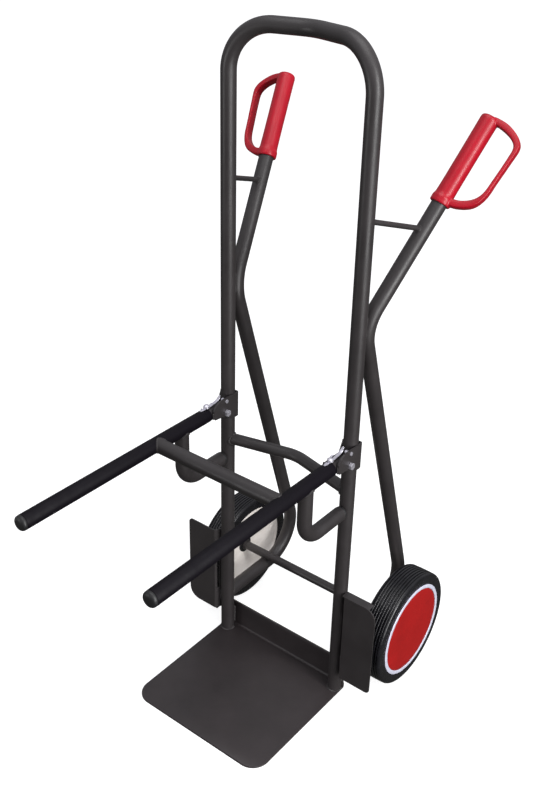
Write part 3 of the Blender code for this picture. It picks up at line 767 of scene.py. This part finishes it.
# Ribs of the tread, and one rib as (place in its pitch, depth below its crown)
RIBS = 7
RIB_SECTION = [
    (0.49, 0.0034), (0.38, 0.0033), (0.33, 0.0012), (0.27, 0.0004), (0.16, 0.0), (-0.16, 0.0),
    (-0.27, 0.0004), (-0.33, 0.0012), (-0.38, 0.0033), (-0.49, 0.0034),
]
RIM_PROFILE = [
    (0.1037, 0.0255), (0.1037, -0.0252), (0.1030, -0.0260), (0.0985, -0.0260), (0.0972, -0.0256),
    (0.0962, -0.0243), (0.0930, -0.0240), (0.0900, -0.0233), (0.0600, -0.0147), (0.0330, -0.0068),
    (0.0270, -0.0060), (0.0143, -0.0060), (0.0143, 0.0175), (0.0200, 0.0175), (0.0200, -0.0020),
    (0.0290, -0.0020), (0.0890, -0.0195), (0.0950, -0.0220), (0.0997, -0.0220), (0.0997, 0.0255),
]
BUSH_PROFILE = [
    (0.0140, 0.0195), (0.0140, -0.0063), (0.0196, -0.0063), (0.0200, -0.0068), (0.0200, -0.0088),
    (0.0192, -0.0095), (0.0104, -0.0095), (0.01005, -0.0091), (0.01005, 0.0195),
]
CAP_PROFILE = [
    (0, 0.0311), (0.0200, 0.0311), (0.0500, 0.0310), (0.0740, 0.0308), (0.0870, 0.0305),
    (0.0930, 0.0302), (0.0953, 0.0298), (0.0964, 0.0291), (0.0966, 0.0281), (0.1010, 0.0281),
    (0.1010, 0.0258), (0, 0.0258),
]
RING_PROFILE = [
    (0.1030, 0.0310), (0.1041, 0.0308), (0.1050, 0.0303), (0.1055, 0.0298), (0.1055, 0.0294),
    (0.0968, 0.0294), (0.0969, 0.0300), (0.0975, 0.0306), (0.0984, 0.0309), (0.0996, 0.0310),
]


def tyre_profile():
    """Tyre section with rounded shoulders and ribs right round the tread."""
    half = TYRE_HALF
    side_wall = [(TYRE_INNER_R, half - 0.0006), (0.1062, half), (0.1085, half + 0.0002), (0.1200, half)]
    arc = []
    for k in range(6):
        angle = math.pi / 2 * k / 5
        r = WHEEL_R - TYRE_SHOULDER - 0.0006 + TYRE_SHOULDER * math.sin(angle)
        arc.append((r, half - TYRE_SHOULDER * (1 - math.cos(angle))))
    profile = side_wall + arc
    pitch = 2 * TREAD_HALF / RIBS
    for k in range(RIBS):
        z = TREAD_HALF - (k + 0.5) * pitch
        crown = WHEEL_R - 0.0010 * (z / half) ** 2
        for offset, drop in RIB_SECTION:
            profile.append((crown - drop, z + offset * pitch))
    return profile + [(r, -z) for r, z in reversed(side_wall + arc)]


def build_wheel(side):
    sign = SIDES[side]
    body = "wheel_" + side
    turn = Matrix.Rotation(sign * math.pi / 2, 4, "Y")
    place = Matrix.Translation((sign * WHEEL_X, AXLE.y, AXLE.z)) @ turn
    pieces = (
        ("tyre_tread_", tyre_profile(), TYRE, "tyre", "tyre_"),
        ("wheel_disc_", RIM_PROFILE, DISC, "rim", "rim_"),
        ("wheel_bush_", BUSH_PROFILE, BUSH, "bush", "bush_"),
        ("red_cap_", CAP_PROFILE, CAP, "cap", "hub_cap_"),
        ("silver_ring_", RING_PROFILE, RING, "zinc", "trim_ring_"),
    )
    for name, profile, material, slot, node in pieces:
        obj = lathe(name + side, profile, WHEEL_STEPS, place)
        dress(obj, body, slot, material, node + side)


# ---------------------------------------------------------------- carriage


FORK_PLUG_PROFILE = [
    (0, 0.0094), (0.0058, 0.0093), (0.0097, 0.0088), (0.0124, 0.0076), (0.0141, 0.0056),
    (0.0148, 0.0034), (0.0149, 0.0010), (0.0145, 0.0003), (0, 0.0003),
]
PROP_PLUG_PROFILE = [
    (0, 0.0078), (0.0075, 0.0077), (0.0108, 0.0072), (0.0128, 0.0060), (0.0139, 0.0044),
    (0.0142, 0.0012), (0.0138, 0.0003), (0, 0.0003),
]
# Side view of the sprung strip: world Y, and height above the fork axis
LATCH_LINE = [
    (-0.0860, 0.0167), (-0.0600, 0.0167), (-0.0440, 0.0179), (-0.0345, 0.0202), (-0.0285, 0.0240),
    (-0.0252, 0.0290),
]
LATCH_HALF_WIDTH = 0.0034
LATCH_THICKNESS = 0.0014


def build_fork(side):
    sign = SIDES[side]
    x = sign * UPRIGHT_X
    z = CARRIAGE_Z
    rod = tube("fork_tube_" + side, [(x, FORK_REAR_Y, z), (x, FORK_TIP_Y, z)], FORK_R)
    dress(rod, "carriage", "frame", COAT, "fork_" + side)
    length = SLEEVE_REAR_Y - FORK_TIP_Y
    profile = [
        (SLEEVE_R, 0.0008), (SLEEVE_R - 0.0004, 0.0001), (0.0143, 0.0001), (0.0143, length),
        (0.0146, length), (SLEEVE_R - 0.0001, length - 0.0008), (SLEEVE_R, length - 0.0016),
    ]
    tip = Matrix.Translation((x, FORK_TIP_Y, z))
    backwards = tip @ Matrix.Rotation(-math.pi / 2, 4, "X")
    sleeve = lathe("fork_sleeve_skin_" + side, profile, FORK_STEPS, backwards)
    dress(sleeve, "carriage", "sleeve", SLEEVE, "fork_sleeve_" + side)
    forwards = tip @ Matrix.Rotation(math.pi / 2, 4, "X")
    plug = lathe("fork_end_" + side, FORK_PLUG_PROFILE, FORK_STEPS, forwards)
    dress(plug, "carriage", "plug", PLUG, "fork_plug_" + side)


def build_cross_tube():
    z = CARRIAGE_Z
    reach = UPRIGHT_X - 0.006
    ends = [(-reach, CROSS_Y, z), (reach, CROSS_Y, z)]
    dress(tube("cross_tube", ends, TUBE_R), "carriage", "frame", COAT, "fork_cross_tube")
    for side, sign in SIDES.items():
        start = Vector((sign * UPRIGHT_X, CROSS_Y, z))
        inwards = Vector((-sign, 0, 0))
        loop = tee_loop(start, Vector((0, 1, 0)), SLEEVE_R, start, inwards, TUBE_R * 0.97)
        weld_bead("weld_cross_" + side, loop, BEAD_R["cross"], "carriage", 71 + sign)


def build_prop(side):
    sign = SIDES[side]
    x = sign * UPRIGHT_X
    z = CARRIAGE_Z
    corners = [(x, PROP_Y, z), (x, PROP_Y, z + PROP_DROP), (x, PROP_END_Y, z + PROP_DROP)]
    prop = tube("prop_tube_" + side, rounded_path(corners, [PROP_BEND_R]), PROP_R)
    dress(prop, "carriage", "frame", COAT, "prop_" + side)
    start = Vector((x, PROP_Y, z))
    loop = tee_loop(start, Vector((0, 1, 0)), SLEEVE_R, start, Vector((0, 0, -1)), PROP_R)
    weld_bead("weld_prop_" + side, loop, BEAD_R["prop"], "carriage", 81 + sign)
    end = Matrix.Translation((x, PROP_END_Y, z + PROP_DROP))
    matrix = end @ Matrix.Rotation(-math.pi / 2, 4, "X")
    plug = lathe("prop_end_" + side, PROP_PLUG_PROFILE, PROP_PLUG_STEPS, matrix)
    dress(plug, "carriage", "plug", PLUG, "prop_plug_" + side)


def build_latch(side):
    """The sprung strip, a narrow flat bar with a softly bent nose."""
    x = SIDES[side] * UPRIGHT_X - 0.0005
    line = smooth_line(LATCH_LINE, 40)
    points = [Vector((x, y, CARRIAGE_Z + z)) for y, z in line]
    rings = []
    for i in range(len(line)):
        width = LATCH_HALF_WIDTH * min(1.0, 0.45 + 0.14 * min(i, len(line) - 1 - i))
        rings.append(edge_ring(width, LATCH_THICKNESS, 0.0004))
    strip = sweep("latch_strip_" + side, points, rings)
    dress(strip, "carriage", "zinc", ZINC, "latch_" + side)


def build_bracket(side):
    """Paint the bracket and its hardware and weld the cheeks to the fork tube."""
    sign = SIDES[side]
    x = sign * UPRIGHT_X
    for node, material, width in (
        ("bracket_", COAT, 0.0006), ("bolt_", ZINC, 0.0007), ("nut_", ZINC, 0.0007),
        ("pin_", ZINC, 0.0008), ("rivet_", ZINC, 0.0003),
    ):
        soften(node + side, width)
        paint(node + side, material)
    for k, edge in enumerate((-1, 1)):
        seam = [
            Vector((x + edge * 0.0160, -0.0646, CARRIAGE_Z + t * 0.0075 + 0.001))
            for t in np.linspace(-1, 1, 20)
        ]
        weld_bead(f"weld_cheek_{side}_{k}", seam, BEAD_R["cheek"], "carriage", 91 + k, closed=False)


# ------------------------------------------------------ light, floor, camera


# name, place, target, width, height, watts
LIGHTS = [
    ("key_right", (2.8, -0.4, 2.0), (0, 0, 0.6), 0.6, 2.2, 60),
    ("low_right", (3.0, -0.9, 0.6), (0, 0, 0.2), 1.8, 1.8, 62),
    ("top_softbox", (0.2, -0.3, 3.4), (0, 0, 0.4), 2.0, 2.0, 30),
    ("front_left", (-2.0, -3.4, 0.7), (0, 0, 0.4), 0.5, 0.5, 18),
]
FLOOR_HALF = 40.0
CAMERA_PLACE = (1.04946, -1.41612, 1.66667)
CAMERA_ANGLES = (38.215, 28.908, 1.116)
CAMERA_LENS = 46.48
CAMERA_SHIFT = (0.00815, -0.01455)


def area_light(name, place, target, width, height, watts):
    data = bpy.data.lights.new(name, "AREA")
    data.energy = watts
    data.shape = "RECTANGLE"
    data.size = width
    data.size_y = height
    obj = bpy.data.objects.new(name, data)
    bpy.context.scene.collection.objects.link(obj)
    obj.location = place
    obj.rotation_euler = (Vector(target) - Vector(place)).to_track_quat("-Z", "Y").to_euler()


def build_floor():
    corners = [(x * FLOOR_HALF, y * FLOOR_HALF, 0) for x, y in ((-1, -1), (1, -1), (1, 1), (-1, 1))]
    floor = add_mesh("floor", corners, [(0, 1, 2, 3)])
    n = Nodes("pale_floor")
    tone = n.ramp(n.noise(2.0), [(0.3, (0.48, 0.48, 0.48)), (0.7, (0.50, 0.50, 0.50))])
    n.link(tone, n.shader.inputs["Base Color"])
    n.shader.inputs["Roughness"].default_value = 0.9
    n.shader.inputs["Emission Color"].default_value = (1, 1, 1, 1)
    n.shader.inputs["Emission Strength"].default_value = 0.82
    floor.data.materials.append(n.material)
    floor.visible_diffuse = False
    floor.visible_glossy = False


def build_world():
    """A sky that brightens upwards, for soft fill light."""
    world = bpy.data.worlds.new("studio")
    bpy.context.scene.world = world
    world.use_nodes = True
    nodes, links = world.node_tree.nodes, world.node_tree.links
    background = nodes["Background"]
    coords = nodes.new("ShaderNodeTexCoord")
    split = nodes.new("ShaderNodeSeparateXYZ")
    ramp = nodes.new("ShaderNodeValToRGB")
    ramp.color_ramp.elements[0].position = 0.35
    ramp.color_ramp.elements[0].color = (0.16, 0.16, 0.15, 1)
    ramp.color_ramp.elements[1].position = 0.75
    ramp.color_ramp.elements[1].color = (0.95, 0.95, 1.0, 1)
    shift = nodes.new("ShaderNodeMapRange")
    shift.inputs["From Min"].default_value = -1.0
    links.new(coords.outputs["Generated"], split.inputs["Vector"])
    links.new(split.outputs["Z"], shift.inputs["Value"])
    links.new(shift.outputs["Result"], ramp.inputs["Fac"])
    links.new(ramp.outputs["Color"], background.inputs["Color"])
    background.inputs["Strength"].default_value = 0.55


def build_camera():
    """Camera from its azimuth, downward pitch and roll in degrees."""
    azimuth, pitch, roll = (math.radians(v) for v in CAMERA_ANGLES)
    back = Vector((
        math.sin(azimuth) * math.cos(pitch), -math.cos(azimuth) * math.cos(pitch), math.sin(pitch)
    ))
    level = Vector((math.cos(azimuth), math.sin(azimuth), 0))
    above = back.cross(level)
    right = level * math.cos(roll) + above * math.sin(roll)
    up = above * math.cos(roll) - level * math.sin(roll)
    data = bpy.data.cameras.new("camera")
    data.sensor_width = 36
    data.lens = CAMERA_LENS
    data.shift_x, data.shift_y = CAMERA_SHIFT
    camera = bpy.data.objects.new("camera", data)
    bpy.context.scene.collection.objects.link(camera)
    rotation = Matrix((right, up, back)).transposed().to_4x4()
    camera.matrix_world = Matrix.Translation(CAMERA_PLACE) @ rotation
    bpy.context.scene.camera = camera


build_hoop()
build_brace()
build_toe_plate()
build_guards()
build_axle()
build_cross_tube()
for one_side in SIDES:
    build_stay(one_side)
    build_strut(one_side)
    build_grip(one_side)
    build_wheel(one_side)
    build_fork(one_side)
    build_prop(one_side)
    build_bracket(one_side)
    build_latch(one_side)
build_floor()
build_world()
for light in LIGHTS:
    area_light(*light)
build_camera()
bpy.context.scene.view_settings.view_transform = "Standard"

bpy.context.view_layer.update()
